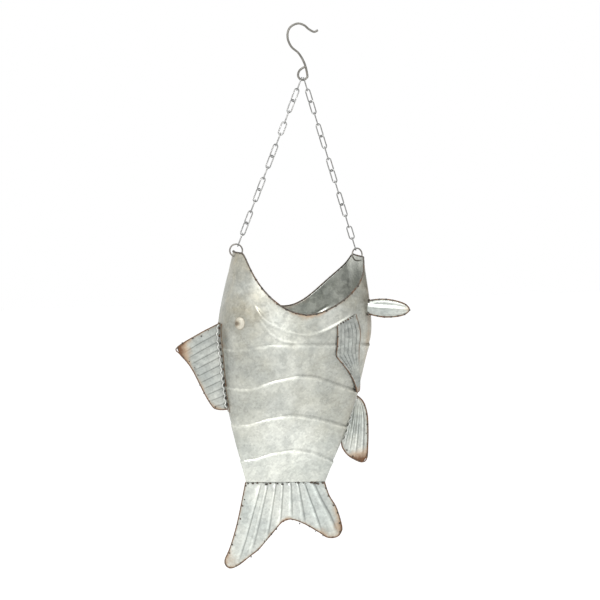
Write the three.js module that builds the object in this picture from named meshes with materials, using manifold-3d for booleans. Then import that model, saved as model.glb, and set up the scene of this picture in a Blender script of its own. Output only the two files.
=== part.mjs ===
// A hanging planter in the shape of a fish, made of thin galvanised sheet. The fish hangs head up
// by the tips of its open mouth, on two chains of oval links that meet in the eye of one wire hook.
//
// Millimetres, +Z up. X runs across the fish from its back to its belly, and Y through its
// thickness. The origin is the inside top of the hook's crook, where the object hangs.
import * as THREE from 'three';
import { mergeVertices } from 'three/addons/utils/BufferGeometryUtils.js';
import ManifoldModule from 'manifold-3d';

const wasm = await ManifoldModule();
wasm.setup();

// ---------------------------------------------------------------- driving dimensions
const DEG = Math.PI / 180;
const SHEET = 0.8; // thickness of the sheet
const GAP = 0.35; // clearance left where two pieces meet

const HOOK_WIRE = 1.4; // wire radius
const EYE_X = 5.4; // middle of the eye's round bottom
const EYE_Z = -63.7;
const EYE_BEND = 6.3; // its radius at the middle of the wire
const EYE_REST = 4.7; // how far from the eye's middle a link hangs
const HOOK_STEPS = 66; // sections along the hook's wire

const LINK_COUNT = 15; // in each chain
const LINK_WIRE = 0.8;
const LINK_BEND = 3.2; // radius of a link's round ends at the middle of the wire
const LINK_INSIDE = 15.9; // clear length inside a link
const LINK_STEP_TWIST = 60 * DEG; // each link's turn from the one above it
const LINK_FIRST_TWIST = 16.5 * DEG;
const LINK_SEGMENTS = 10; // sections round a link's two bends

const RING_WIRE = 0.95;
const RING_BEND = 8.15;
const RING_TURN = { left: 8 * DEG, right: -21.5 * DEG }; // past square to the fish's side

const FISH_X = -2.2; // middle of the mouth, between the two ring holes
const FISH_Z = -299.5;
const FISH_LEAN = 3 * DEG; // the fish hangs a little down on its belly side
const HOLE_RADIUS = 2.1;
const HOLE_HALF_SPAN = 84.6; // from the middle of the mouth to a ring hole

// The body's cross-section at each height below the ring holes: [height, half width, half depth]
const SECTIONS = [
  [12, 84.6, 45.5],
  [0, 85, 47.7],
  [-50, 94.3, 54],
  [-90, 99.2, 53.3],
  [-130, 94.1, 46],
  [-180, 86.2, 34],
  [-230, 74.1, 19.5],
  [-275, 60.1, 6.2],
  [-294, 54, 2],
];
const BODY_BOTTOM = -294;
const BACK_ROUNDNESS = 2.5; // power of the rounded end at the fish's back: 2 is an ellipse
const BELLY_ROUNDNESS = 4; // the belly is blunter
const SEAM = 8 * DEG; // the two side sheets meet this far past the middle, on the far side

const JAW_TOP = 5; // top of the mouth's edge at the two tips, above the ring holes
const MOUTH_DROP = 73.5; // how far the edge dips at the middle of each side
const JAW_HALF_ANGLE = 65 * DEG; // the dip's reach each way from the middle of the side
const FAR_LIP_RISE = 9.3; // how much higher the far edge stands towards the belly
const FAR_LIP_AROUND = 307 * DEG; // where that is highest
const FAR_LIP_SPREAD = 18 * DEG;

const RIM_WIRE = 1;
const FIN_WIRE = 0.9;
const WIRE_SIDES = 6; // faces round a light wire
const EYE_DISC = 8; // radius of a pressed eye
const EYE_DOME = [[EYE_DISC, 0.9], [6, 2.4], [3, 3.3], [0, 3.5]]; // its front, from the rim to the middle
const EYE_AROUND = 141 * DEG;
const EYE_HEIGHT = -82;

// ---------------------------------------------------------------- shared geometry
const vec = (x, y, z) => new THREE.Vector3(x, y, z);
const mix = (a, b, t) => a + (b - a) * t;
const NEARBY = 1e-4; // a small step along a closed line, for its direction

// A grid of points swept through a sheet: place(u, v, side) gives the point for u and v from 0 to 1,
// and side is 0 on one face of the sheet and 1 on the other.
function mappedSheet(columns, rows, place) {
  const geometry = new THREE.BoxGeometry(1, 1, 1, columns, rows, 1);
  geometry.deleteAttribute('normal');
  geometry.deleteAttribute('uv');
  const at = geometry.attributes.position;
  for (let i = 0; i < at.count; i += 1) {
    const p = place(at.getX(i) + 0.5, at.getY(i) + 0.5, at.getZ(i) + 0.5);
    at.setXYZ(i, p.x, p.y, p.z);
  }
  return facingOut(geometry);
}

// Turns the faces over if a mapping has left them pointing in.
function facingOut(geometry) {
  const [a, b, c] = [vec(), vec(), vec()];
  const at = geometry.attributes.position;
  const index = geometry.index.array;
  let volume = 0;
  for (let i = 0; i < index.length; i += 3) {
    a.fromBufferAttribute(at, index[i]);
    b.fromBufferAttribute(at, index[i + 1]);
    c.fromBufferAttribute(at, index[i + 2]);
    volume += a.dot(b.cross(c));
  }
  if (volume < 0) {
    for (let i = 0; i < index.length; i += 3) {
      [index[i], index[i + 1]] = [index[i + 1], index[i]];
    }
  }
  return geometry;
}

// Round wire along an open line of points.
function wireAlong(points, radius, steps, sides = WIRE_SIDES) {
  const section = new THREE.Shape();
  section.absarc(0, 0, radius, 0, 2 * Math.PI);
  const extrudePath = new THREE.CatmullRomCurve3(points, false, 'centripetal');
  return new THREE.ExtrudeGeometry(section, {
    steps, curveSegments: sides / 2, bevelEnabled: false, extrudePath,
  });
}

// Round wire along a closed line: centre(t) and t from 0 to 1, with side(t) pointing across the wire.
function closedWire(centre, side, radius, steps) {
  const geometry = new THREE.TorusGeometry(1, 0.5, WIRE_SIDES, steps);
  const at = geometry.attributes.position;
  const turns = geometry.attributes.uv;
  for (let i = 0; i < at.count; i += 1) {
    const t = turns.getX(i) % 1;
    const around = turns.getY(i) * 2 * Math.PI;
    const along = centre((t + NEARBY) % 1).sub(centre(t)).normalize();
    const across = side(t).normalize();
    const other = along.clone().cross(across).normalize();
    const p = centre(t);
    p.addScaledVector(across, radius * Math.cos(around));
    p.addScaledVector(other, radius * Math.sin(around));
    at.setXYZ(i, p.x, p.y, p.z);
  }
  geometry.deleteAttribute('normal');
  return facingOut(geometry);
}

// A flat plate of sheet standing in the XZ plane, centred on Y = 0, from its outline.
function flatPlate(outline) {
  const shape = new THREE.Shape(outline.map(([x, z]) => new THREE.Vector2(x, z)));
  const plate = new THREE.ExtrudeGeometry(shape, { depth: SHEET, bevelEnabled: false });
  return plate.rotateX(Math.PI / 2).translate(0, SHEET / 2, 0);
}

// A smooth outline through a few points, sampled into a list of [x, z].
function smooth(points, count) {
  const curve = new THREE.SplineCurve(points.map(([x, z]) => new THREE.Vector2(x, z)));
  return curve.getSpacedPoints(count).map((p) => [p.x, p.y]);
}

// The same outline moved to its left by a distance, as a wire that lies along a sheet's edge.
function besideEdge(outline, distance) {
  return outline.map((point, i) => {
    const before = outline[Math.max(i - 1, 0)];
    const after = outline[Math.min(i + 1, outline.length - 1)];
    const run = Math.hypot(after[0] - before[0], after[1] - before[1]);
    const left = [-(after[1] - before[1]) / run, (after[0] - before[0]) / run];
    return vec(point[0] + left[0] * distance, 0, point[1] + left[1] * distance);
  });
}

function toManifold(geometry) {
  const bare = geometry.clone();
  bare.deleteAttribute('normal');
  bare.deleteAttribute('uv');
  const merged = mergeVertices(bare, 1e-4);
  return new wasm.Manifold(new wasm.Mesh({
    numProp: 3,
    vertProperties: new Float32Array(merged.attributes.position.array),
    triVerts: new Uint32Array(merged.index.array),
  }));
}

function fromManifold(solid) {
  const mesh = solid.getMesh();
  const geometry = new THREE.BufferGeometry();
  geometry.setAttribute('position', new THREE.BufferAttribute(mesh.vertProperties, 3));
  geometry.setIndex(new THREE.BufferAttribute(mesh.triVerts, 1));
  return geometry;
}

// ---------------------------------------------------------------- finishes
const finishes = {
  darkWire: { color: 0x55524c, roughness: 0.45, metalness: 0.9 },
  chainSteel: { color: 0x8f8d88, roughness: 0.35, metalness: 1 },
  galvanised: { color: 0xb9bcb6, roughness: 0.5, metalness: 0.85 },
  rustyWire: { color: 0x5d5044, roughness: 0.7, metalness: 0.6 },
  eyeEnamel: { color: 0xc9b79a, roughness: 0.5, metalness: 0.4 },
};

function piece(name, geometry, finish) {
  const mesh = new THREE.Mesh(geometry, new THREE.MeshStandardMaterial(finishes[finish]));
  mesh.name = name;
  return mesh;
}

// ---------------------------------------------------------------- hook
function hook() {
  const crook = [
    [25.5, -6.8], [20.4, -8.8], [13.2, -5.4], [7.6, -0.9], [0, 1.4], [-7.6, -0.8], [-12.9, -5.7],
    [-14.9, -12.9], [-13.9, -20.4], [-9.3, -28.7], [-1, -35.3], [4.3, -42.5], [8.8, -52],
  ].map(([x, z]) => vec(x, 0, z));
  const eye = [];
  for (let turn = 8; turn <= 188; turn += 30) {
    const a = -turn * DEG;
    eye.push(vec(EYE_X + EYE_BEND * Math.cos(a), 0, EYE_Z + EYE_BEND * Math.sin(a)));
  }
  // the wire's end comes back beside the shank, on the near side
  const closing = [vec(0.6, -1.6, EYE_Z + 5.4), vec(4.4, -3, EYE_Z + 8.7), vec(8.4, -3.3, EYE_Z + 10.4)];
  return wireAlong([...crook, ...eye, ...closing], HOOK_WIRE, HOOK_STEPS, WIRE_SIDES + 2);
}

// ---------------------------------------------------------------- chains and rings
const eyeMiddle = vec(EYE_X, 0, EYE_Z);

function ringHole(side) {
  const lean = new THREE.Vector3(Math.cos(FISH_LEAN), 0, -Math.sin(FISH_LEAN));
  return vec(FISH_X, 0, FISH_Z).addScaledVector(lean, side * HOLE_HALF_SPAN);
}

// One chain and its ring hang in a straight line from the eye to a ring hole.
function chainRun(side) {
  const hole = ringHole(side);
  const down = hole.clone().sub(eyeMiddle).normalize();
  const start = eyeMiddle.clone().addScaledVector(down, EYE_REST);
  const length = hole.distanceTo(start);
  // the last link's round end hangs the ring, and LINK_INSIDE beyond the pitch is play between links
  const lastLinkEnd = length - 2 * RING_BEND + RING_WIRE + GAP;
  const pitch = (lastLinkEnd - LINK_INSIDE / 2) / (LINK_COUNT - 0.5);
  return { hole, down, start, pitch };
}

// Stands a flat loop, drawn in its own XY plane with +Y up, in a chain's run.
function standInRun(mesh, middle, down, twist) {
  const up = down.clone().negate();
  const front = vec(0, 1, 0);
  const flat = front.clone().cross(up);
  const side = front.multiplyScalar(Math.cos(twist)).addScaledVector(flat, Math.sin(twist));
  const normal = side.clone().cross(up);
  mesh.quaternion.setFromRotationMatrix(new THREE.Matrix4().makeBasis(side, up, normal));
  mesh.position.copy(middle);
  return mesh;
}

function linkGeometry() {
  const geometry = new THREE.TorusGeometry(LINK_BEND, LINK_WIRE, WIRE_SIDES, LINK_SEGMENTS);
  geometry.rotateZ(Math.PI / LINK_SEGMENTS);
  const stretch = LINK_INSIDE / 2 + LINK_WIRE - LINK_BEND;
  const at = geometry.attributes.position;
  for (let i = 0; i < at.count; i += 1) {
    at.setY(i, at.getY(i) + Math.sign(at.getY(i)) * stretch);
  }
  return geometry;
}

// The two links that turn a quarter, and not a sixth, from the link above them.
const QUARTER_TURNS = { left: [5, 6], right: [14, 15] };

function chain(label, side) {
  const { down, start, pitch } = chainRun(side);
  const links = [];
  let twist = LINK_FIRST_TWIST;
  for (let i = 1; i <= LINK_COUNT; i += 1) {
    if (i > 1) twist += QUARTER_TURNS[label].includes(i) ? Math.PI / 2 : LINK_STEP_TWIST;
    const middle = start.clone().addScaledVector(down, pitch * (i - 0.5));
    const link = piece(`link_${label}_${String(i).padStart(2, '0')}`, linkGeometry(), 'chainSteel');
    links.push(standInRun(link, middle, down, twist));
  }
  return links;
}

function ring(label, side) {
  const { hole, down } = chainRun(side);
  const middle = hole.clone().addScaledVector(down, -RING_BEND);
  const loop = piece(`ring_${label}`, new THREE.TorusGeometry(RING_BEND, RING_WIRE, 8, 28), 'darkWire');
  return standInRun(loop, middle, down, Math.PI / 2 + RING_TURN[label]);
}

// ---------------------------------------------------------------- the fish's body
// Half width and half depth of the body at a height, on a smooth curve through SECTIONS.
function sectionAt(height) {
  let i = 0;
  while (i < SECTIONS.length - 2 && height < SECTIONS[i + 1][0]) i += 1;
  const rows = [Math.max(i - 1, 0), i, i + 1, Math.min(i + 2, SECTIONS.length - 1)].map((k) => SECTIONS[k]);
  const t = (height - rows[1][0]) / (rows[2][0] - rows[1][0]);
  const step = rows[2][0] - rows[1][0];
  return [1, 2].map((k) => {
    const slopeIn = ((rows[2][k] - rows[0][k]) / (rows[2][0] - rows[0][0])) * step;
    const slopeOut = ((rows[3][k] - rows[1][k]) / (rows[3][0] - rows[1][0])) * step;
    const rise = rows[2][k] - rows[1][k];
    const bend = 3 * rise - 2 * slopeIn - slopeOut;
    const twist = slopeIn + slopeOut - 2 * rise;
    return rows[1][k] + t * (slopeIn + t * (bend + t * twist));
  });
}

// A point on the body's outside, or that far under it. around is 0 at the belly, 90 degrees at the
// middle of the near side and 180 degrees at the back.
function bodyPoint(around, height, under = 0) {
  const [width, depth] = sectionAt(height);
  const c = Math.cos(around);
  const s = Math.sin(around);
  const power = c > 0 ? BELLY_ROUNDNESS : BACK_ROUNDNESS;
  const reach = (Math.abs(c) ** power + Math.abs(s) ** power) ** (-1 / power);
  return vec((width - under) * reach * c, -(depth - under) * reach * s, height);
}

// The mouth's edge: level at the jaw tips, dipping at the middle of each side.
function rimHeight(around) {
  const turned = around % (2 * Math.PI);
  const fromMiddle = Math.abs(Math.abs(Math.PI - turned) - Math.PI / 2);
  const t = Math.min(fromMiddle / JAW_HALF_ANGLE, 1);
  const lip = FAR_LIP_RISE * Math.exp(-(((turned - FAR_LIP_AROUND) / FAR_LIP_SPREAD) ** 2));
  return JAW_TOP + lip - MOUTH_DROP * (1 - t * t) ** 1.5;
}

// A side sheet between two directions round the body; spare(height) trims both of its upright edges.
function sideSheet(from, to, columns, rows, spare = () => 0) {
  return mappedSheet(columns, rows, (u, v, face) => {
    const rough = mix(from, to, u);
    const height = mix(BODY_BOTTOM, rimHeight((rough + 2 * Math.PI) % (2 * Math.PI)), v);
    const trim = spare(height);
    return bodyPoint(mix(from + trim, to - trim, u), height, face * SHEET);
  });
}

function nearSheet() {
  let solid = toManifold(sideSheet(-SEAM, Math.PI + SEAM, 26, 12));
  for (const side of [-1, 1]) {
    const bore = new THREE.CylinderGeometry(HOLE_RADIUS, HOLE_RADIUS, 12, 16);
    bore.rotateZ(Math.PI / 2).translate(side * HOLE_HALF_SPAN, 0, 0);
    solid = solid.subtract(toManifold(bore));
  }
  return fromManifold(solid);
}

function farSheet() {
  return sideSheet(Math.PI + SEAM, 2 * Math.PI - SEAM, 22, 12, (height) => GAP / sectionAt(height)[1]);
}

// The wire that stiffens the mouth's edge stands on the edge all the way round.
function rimWire() {
  const edge = (t) => bodyPoint(t * 2 * Math.PI, rimHeight(t * 2 * Math.PI), SHEET / 2);
  const outward = (t) => {
    const a = t * 2 * Math.PI;
    const p = bodyPoint(a, rimHeight(a), 0).sub(bodyPoint(a, rimHeight(a), SHEET));
    return p.normalize();
  };
  const centre = (t) => {
    const along = edge((t + NEARBY) % 1).sub(edge((t + 1 - NEARBY) % 1)).normalize();
    const up = outward(t).cross(along).normalize();
    if (up.z < 0) up.negate();
    return edge(t).addScaledVector(up, RIM_WIRE + GAP);
  };
  return closedWire(centre, outward, RIM_WIRE, 64);
}

// A pressed disc for an eye, standing on the body's surface.
function eyeDisc() {
  const profile = [[0, 0], [EYE_DISC, 0], ...EYE_DOME].map(([r, h]) => new THREE.Vector2(r, h));
  const disc = new THREE.LatheGeometry(profile, 16);
  const at = bodyPoint(EYE_AROUND, EYE_HEIGHT);
  const across = bodyPoint(EYE_AROUND + DEG, EYE_HEIGHT).sub(bodyPoint(EYE_AROUND - DEG, EYE_HEIGHT));
  const upward = bodyPoint(EYE_AROUND, EYE_HEIGHT + 2).sub(bodyPoint(EYE_AROUND, EYE_HEIGHT - 2));
  const out = across.cross(upward).normalize();
  if (out.y > 0) out.negate();
  at.addScaledVector(out, GAP);
  disc.applyQuaternion(new THREE.Quaternion().setFromUnitVectors(vec(0, 1, 0), out));
  disc.translate(at.x, at.y, at.z);
  return disc;
}

// ---------------------------------------------------------------- fins
// Points just outside the body's edge in the middle plane, at its back (-1) or its belly (1).
function bodyEdge(side, [from, to], count) {
  return Array.from({ length: count }, (_, i) => {
    const height = mix(from, to, i / (count - 1));
    return [side * (sectionAt(height)[0] + GAP), height];
  });
}

const DORSAL_ROOT = [-196, -88]; // from the lower end of its base to the upper
const ANAL_ROOT = [-239, -179];
const DORSAL_EDGE = [
  [-154, -120], [-141, -131.5], [-127.5, -151], [-119.5, -165], [-106.5, -187], [-97, -195.5],
];
const ANAL_EDGE = [
  [103, -193], [108.5, -214], [110, -240], [109.3, -262], [103, -266], [91.5, -262], [80.5, -250],
];
const TAIL_EDGE = [
  [-76.5, -394], [-75, -403], [-68, -406.8], [-56, -400], [-34, -383], [-19.5, -365], [-5, -350],
  [8, -342.5], [27, -348.5], [43, -357.5], [57.5, -366], [69.5, -367.5], [77, -363], [79.5, -356],
];
const TAIL_TAB = 10; // how far the tail's sheet reaches up between the side sheets
const TAIL_TAB_HALF = 47;
const TAIL_TOP_HALF = 53;

function dorsalOutline() {
  return [...smooth(DORSAL_EDGE, 16), ...bodyEdge(-1, DORSAL_ROOT, 14)];
}

function analOutline() {
  return [...smooth(ANAL_EDGE, 16), ...bodyEdge(1, ANAL_ROOT, 9)];
}

function tailOutline() {
  const top = BODY_BOTTOM - GAP;
  return [
    ...smooth(TAIL_EDGE, 36),
    [TAIL_TOP_HALF, top],
    [TAIL_TAB_HALF, top],
    [TAIL_TAB_HALF, BODY_BOTTOM + TAIL_TAB],
    [-TAIL_TAB_HALF, BODY_BOTTOM + TAIL_TAB],
    [-TAIL_TAB_HALF, top],
    [-TAIL_TOP_HALF, top],
  ];
}

// The leaf-shaped fin stands out from the body's near corner on the belly side.
const LEAF_LENGTH = 53.5;
const LEAF_HALF_WIDTH = 11.5;
const LEAF_ROOT_HALF = 8;
const LEAF_TURN = 22 * DEG; // how far it points to the near side of +X
const LEAF_AROUND = 44 * DEG;
const LEAF_HEIGHT = -57;

function leafHalfWidth(along) {
  const t = along / LEAF_LENGTH;
  const widened = mix(LEAF_ROOT_HALF, LEAF_HALF_WIDTH, Math.sin((Math.min(t * 2, 1) * Math.PI) / 2));
  return widened * Math.sqrt(1 - t ** 3.2);
}

function leafEdge(count) {
  const upper = Array.from({ length: count + 1 }, (_, i) => {
    const along = LEAF_LENGTH * Math.sin((i / count) * Math.PI / 2);
    return [along, leafHalfWidth(along)];
  });
  const lower = upper.slice(0, -1).reverse().map(([x, z]) => [x, -z]);
  return [...upper, ...lower];
}

function onLeaf(geometry) {
  const root = bodyPoint(LEAF_AROUND, LEAF_HEIGHT);
  const stand = 2.4; // clears the body's rounding at both ends of the root
  geometry.rotateZ(-LEAF_TURN);
  geometry.translate(root.x + stand * Math.cos(LEAF_TURN), root.y - stand * Math.sin(LEAF_TURN), root.z);
  return geometry;
}

// A pectoral fin lies on the side sheet below the gill line, soldered along its upper edge.
// Each row of the table is a level of the fin: its front edge's direction and height, then its rear edge's.
const PECTORAL_LEVELS = [
  [67, -80, 54, -66],
  [66.5, -101, 51.5, -87],
  [65.5, -121, 50.5, -110],
  [54.5, -141, 46, -140],
  [40.5, -170, 35, -168.5],
];
const PECTORAL_LIFT = 1.6; // how far its free edges stand off the side sheet
const PECTORAL_LIFTED_AT = 1 / 3; // how far down the fin that is reached
const PECTORAL_WIRE_INSET = 0.06; // of the fin's width
const PECTORAL_WIRE_END = 0.96; // of its length

function pectoralPoint(u, v, above) {
  const place = v * (PECTORAL_LEVELS.length - 1);
  const i = Math.min(Math.floor(place), PECTORAL_LEVELS.length - 2);
  const [a, b] = [PECTORAL_LEVELS[i], PECTORAL_LEVELS[i + 1]];
  const level = a.map((value, k) => mix(value, b[k], place - i));
  const around = mix(level[0], level[2], u) * DEG;
  const height = mix(level[1], level[3], u);
  const lift = PECTORAL_LIFT * Math.sin((Math.min(v / PECTORAL_LIFTED_AT, 1) * Math.PI) / 2);
  return bodyPoint(around, height, -(GAP + lift + above));
}

function pectoralSheet() {
  return mappedSheet(6, 12, (u, v, face) => pectoralPoint(u, v, (1 - face) * SHEET));
}

// Its wire lies on the sheet, just inside the two long edges and the tip.
function pectoralWire() {
  const down = Array.from({ length: 9 }, (_, i) => [PECTORAL_WIRE_INSET, (i / 8) * PECTORAL_WIRE_END]);
  const up = down.map(([u, v]) => [1 - u, v]).reverse();
  const above = SHEET + GAP + FIN_WIRE;
  const tip = [0.5, (1 + PECTORAL_WIRE_END) / 2 + 0.01];
  const points = [...down, tip, ...up].map(([u, v]) => pectoralPoint(u, v, above));
  return wireAlong(points, FIN_WIRE, 40);
}

// ---------------------------------------------------------------- assembly
function mirrored(geometry) {
  const bare = geometry.clone().deleteAttribute('normal');
  bare.deleteAttribute('uv');
  return facingOut(mergeVertices(bare.scale(1, -1, 1)));
}

const wireReach = FIN_WIRE + GAP;
const edgeWire = (outline, distance, steps) => wireAlong(besideEdge(outline, distance), FIN_WIRE, steps);
const fish = new THREE.Group();
fish.position.set(FISH_X, 0, FISH_Z);
fish.rotation.y = FISH_LEAN;
fish.add(piece('body_near', nearSheet(), 'galvanised'));
fish.add(piece('body_far', farSheet(), 'galvanised'));
fish.add(piece('mouth_rim_wire', rimWire(), 'rustyWire'));
fish.add(piece('eye_near', eyeDisc(), 'eyeEnamel'));
fish.add(piece('eye_far', mirrored(eyeDisc()), 'eyeEnamel'));
fish.add(piece('dorsal_fin', flatPlate(dorsalOutline()), 'galvanised'));
fish.add(piece('anal_fin', flatPlate(analOutline()), 'galvanised'));
fish.add(piece('tail_fin', flatPlate(tailOutline()), 'galvanised'));
fish.add(piece('belly_fin', onLeaf(flatPlate(leafEdge(7))), 'galvanised'));
fish.add(piece('pectoral_near', pectoralSheet(), 'galvanised'));
fish.add(piece('pectoral_far', mirrored(pectoralSheet()), 'galvanised'));
fish.add(piece('dorsal_fin_wire', edgeWire(smooth(DORSAL_EDGE, 16), -wireReach, 16), 'rustyWire'));
fish.add(piece('anal_fin_wire', edgeWire(smooth(ANAL_EDGE, 16), wireReach, 16), 'rustyWire'));
fish.add(piece('tail_fin_wire', edgeWire(smooth(TAIL_EDGE, 36), -wireReach, 36), 'rustyWire'));
fish.add(piece('belly_fin_wire', onLeaf(edgeWire(leafEdge(7), wireReach, 28)), 'rustyWire'));
fish.add(piece('pectoral_near_wire', pectoralWire(), 'rustyWire'));
fish.add(piece('pectoral_far_wire', mirrored(pectoralWire()), 'rustyWire'));

const group = new THREE.Group();
group.add(piece('hook', hook(), 'darkWire'));
group.add(...chain('left', -1), ...chain('right', 1));
group.add(ring('left', -1), ring('right', 1));
group.add(fish);
export default group;
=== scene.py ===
# Looks for the hanging fish planter: pressed galvanised sheet, ribbed fins, soldered edge wires,
# a light chain, and the camera, light and floor of the photograph. Fish sizes are in millimetres.
import math
import bpy
import numpy as np
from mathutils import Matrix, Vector


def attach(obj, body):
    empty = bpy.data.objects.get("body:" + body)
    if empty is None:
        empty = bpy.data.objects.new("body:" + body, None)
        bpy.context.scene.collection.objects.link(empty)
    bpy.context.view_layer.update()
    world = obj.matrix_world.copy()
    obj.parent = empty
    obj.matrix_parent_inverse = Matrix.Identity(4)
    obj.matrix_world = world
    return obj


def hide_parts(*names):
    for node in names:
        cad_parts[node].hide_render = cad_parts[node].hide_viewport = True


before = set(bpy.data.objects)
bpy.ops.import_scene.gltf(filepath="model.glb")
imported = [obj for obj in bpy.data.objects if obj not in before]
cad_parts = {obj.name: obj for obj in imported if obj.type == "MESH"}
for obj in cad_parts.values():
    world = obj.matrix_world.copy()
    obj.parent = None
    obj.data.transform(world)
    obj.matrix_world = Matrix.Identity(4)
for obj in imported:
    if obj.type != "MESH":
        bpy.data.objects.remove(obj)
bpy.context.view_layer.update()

# ------------------------------------------------------------------ camera
cam_data = bpy.data.cameras.new("camera")
cam_data.lens = 100
cam_data.sensor_width = 36
cam = bpy.data.objects.new("camera", cam_data)
bpy.context.scene.collection.objects.link(cam)
bpy.context.scene.camera = cam
AZIMUTH = math.radians(-16.5)
ELEVATION = math.radians(6.0)
back = Vector((math.sin(AZIMUTH) * math.cos(ELEVATION), -math.cos(AZIMUTH) * math.cos(ELEVATION),
               math.sin(ELEVATION)))
TARGET = Vector((0.00173, 0.0, -0.35382))
DISTANCE = 2.1667
cam.location = TARGET + back * DISTANCE
cam.rotation_mode = "QUATERNION"
cam.rotation_quaternion = (-back).to_track_quat("-Z", "Y")
cam_data.clip_start = 0.05
cam_data.clip_end = 30

# ------------------------------------------------------------------ the fish's own frame
FISH_X, FISH_Z = -2.2, -299.5
LEAN = math.radians(3.0)
SHEET = 0.8
SECTIONS = np.array([
    (12, 84.6, 45.5), (0, 85, 47.7), (-50, 94.3, 54), (-90, 99.2, 53.3), (-130, 94.1, 46),
    (-180, 86.2, 34), (-230, 74.1, 19.5), (-275, 60.1, 6.2), (-294, 54, 2),
], float)
BODY_BOTTOM = -294.0
SEAM = math.radians(8)
SEAM_GAP = 0.004
BELLY_POWER, BACK_POWER = 4.0, 2.5
RIM_TOP, RIM_DIP, RIM_REACH = 5, 73.5, math.radians(65)
LIP_RISE, LIP_AROUND, LIP_SPREAD = 9.3, math.radians(307), math.radians(18)


def to_world(p):
    """Points in the fish's frame, in mm, as metres in the row frame."""
    p = np.asarray(p, float)
    c, s = math.cos(LEAN), math.sin(LEAN)
    x, y, z = p[..., 0], p[..., 1], p[..., 2]
    return np.stack([x * c + z * s + FISH_X, y, -x * s + z * c + FISH_Z], -1) * 0.001


def smoothstep(lo, hi, x):
    t = np.clip((np.asarray(x, float) - lo) / (hi - lo), 0, 1)
    return t * t * (3 - 2 * t)


def section_at(height):
    """Half width and half depth of the body at a height, on the same curve as the CAD body."""
    h = np.asarray(height, float)
    i = np.clip(np.searchsorted(-SECTIONS[:, 0], -h, side="right") - 1, 0, len(SECTIONS) - 2)
    rows = [SECTIONS[np.clip(i + k, 0, len(SECTIONS) - 1)] for k in (-1, 0, 1, 2)]
    step = rows[2][..., 0] - rows[1][..., 0]
    t = (h - rows[1][..., 0]) / step
    found = []
    for k in (1, 2):
        into = (rows[2][..., k] - rows[0][..., k]) / (rows[2][..., 0] - rows[0][..., 0]) * step
        out = (rows[3][..., k] - rows[1][..., k]) / (rows[3][..., 0] - rows[1][..., 0]) * step
        rise = rows[2][..., k] - rows[1][..., k]
        bend = 3 * rise - 2 * into - out + t * (into + out - 2 * rise)
        found.append(rows[1][..., k] + t * (into + t * bend))
    return found


def body_point(around, height, under=0.0):
    """A point on the body, or that far under its skin.

    Around is 0 at the belly, 90 degrees on the near side and 180 at the back.
    """
    around, height = np.broadcast_arrays(np.asarray(around, float), np.asarray(height, float))
    width, depth = section_at(height)
    c, s = np.cos(around), np.sin(around)
    power = np.where(c > 0, BELLY_POWER, BACK_POWER)
    reach = (np.abs(c) ** power + np.abs(s) ** power) ** (-1 / power)
    return np.stack([(width - under) * reach * c, -(depth - under) * reach * s, height + 0 * around], -1)


def rim_height(around):
    """Height of the mouth's edge, with the far side's lip."""
    a = np.mod(around, 2 * math.pi)
    from_middle = np.abs(np.abs(math.pi - a) - math.pi / 2)
    t = np.minimum(from_middle / RIM_REACH, 1)
    lip = LIP_RISE * np.exp(-((a - LIP_AROUND) / LIP_SPREAD) ** 2)
    return RIM_TOP + lip - RIM_DIP * (1 - t * t) ** 1.5


# ------------------------------------------------------------------ pressed lines of the body
GILL = [(-66, -60), (-57, -72), (-46, -80), (-24, -88), (-8, -92), (6, -93), (20, -90), (33, -84),
        (47, -76), (64, -65)]
GILL_LOWER = [(-66, -66), (-57, -78), (-49, -88), (-40, -96), (-27, -101.5), (-8, -103.5)]
RIDGES = [
    [(-96, -117), (-83, -116), (-42, -108), (-5, -107), (43, -106), (60, -106)],
    [(-92, -167), (-64, -167.5), (-36, -156), (-3, -148), (21, -149), (50, -159), (80, -168)],
    [(-84, -217.5), (-61, -216), (-37, -207), (-4, -201), (29, -205), (66, -215), (80, -219)],
    [(-70, -266), (-44, -262), (-24, -254), (5, -249), (30, -252), (58, -264), (70, -268)],
]
STRENGTH = [0.75, 1.0, 1.0, 0.9]
RIDGE_RISE, RIDGE_SINK, CREASE_SINK = 1.2, 1.1, 0.8


def spline(points, x):
    """Height on a smooth line through a few points, and its slope."""
    px, pz = np.array(points, float).T
    fine = np.linspace(px[0], px[-1], 200)
    smooth = np.interp(fine, px, pz)
    kernel = np.hanning(25)
    kernel /= kernel.sum()
    padded = np.concatenate([2 * smooth[0] - smooth[12:0:-1], smooth, 2 * smooth[-1] - smooth[-2:-14:-1]])
    smooth = np.convolve(padded, kernel, "valid")
    slope = np.gradient(smooth, fine)
    return np.interp(x, fine, smooth), np.interp(x, fine, slope)


def above_line(line, x, z):
    """Distance above a pressed line, below it negative."""
    at, slope = spline(line, x)
    return (z - at) / np.sqrt(1 + slope ** 2)


def along_line(line, x):
    """1 along a pressed line, fading out at its two ends."""
    first, last = line[0][0], line[-1][0]
    return smoothstep(first - 2, first + 8, x) * (1 - smoothstep(last - 8, last + 2, x))


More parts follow.
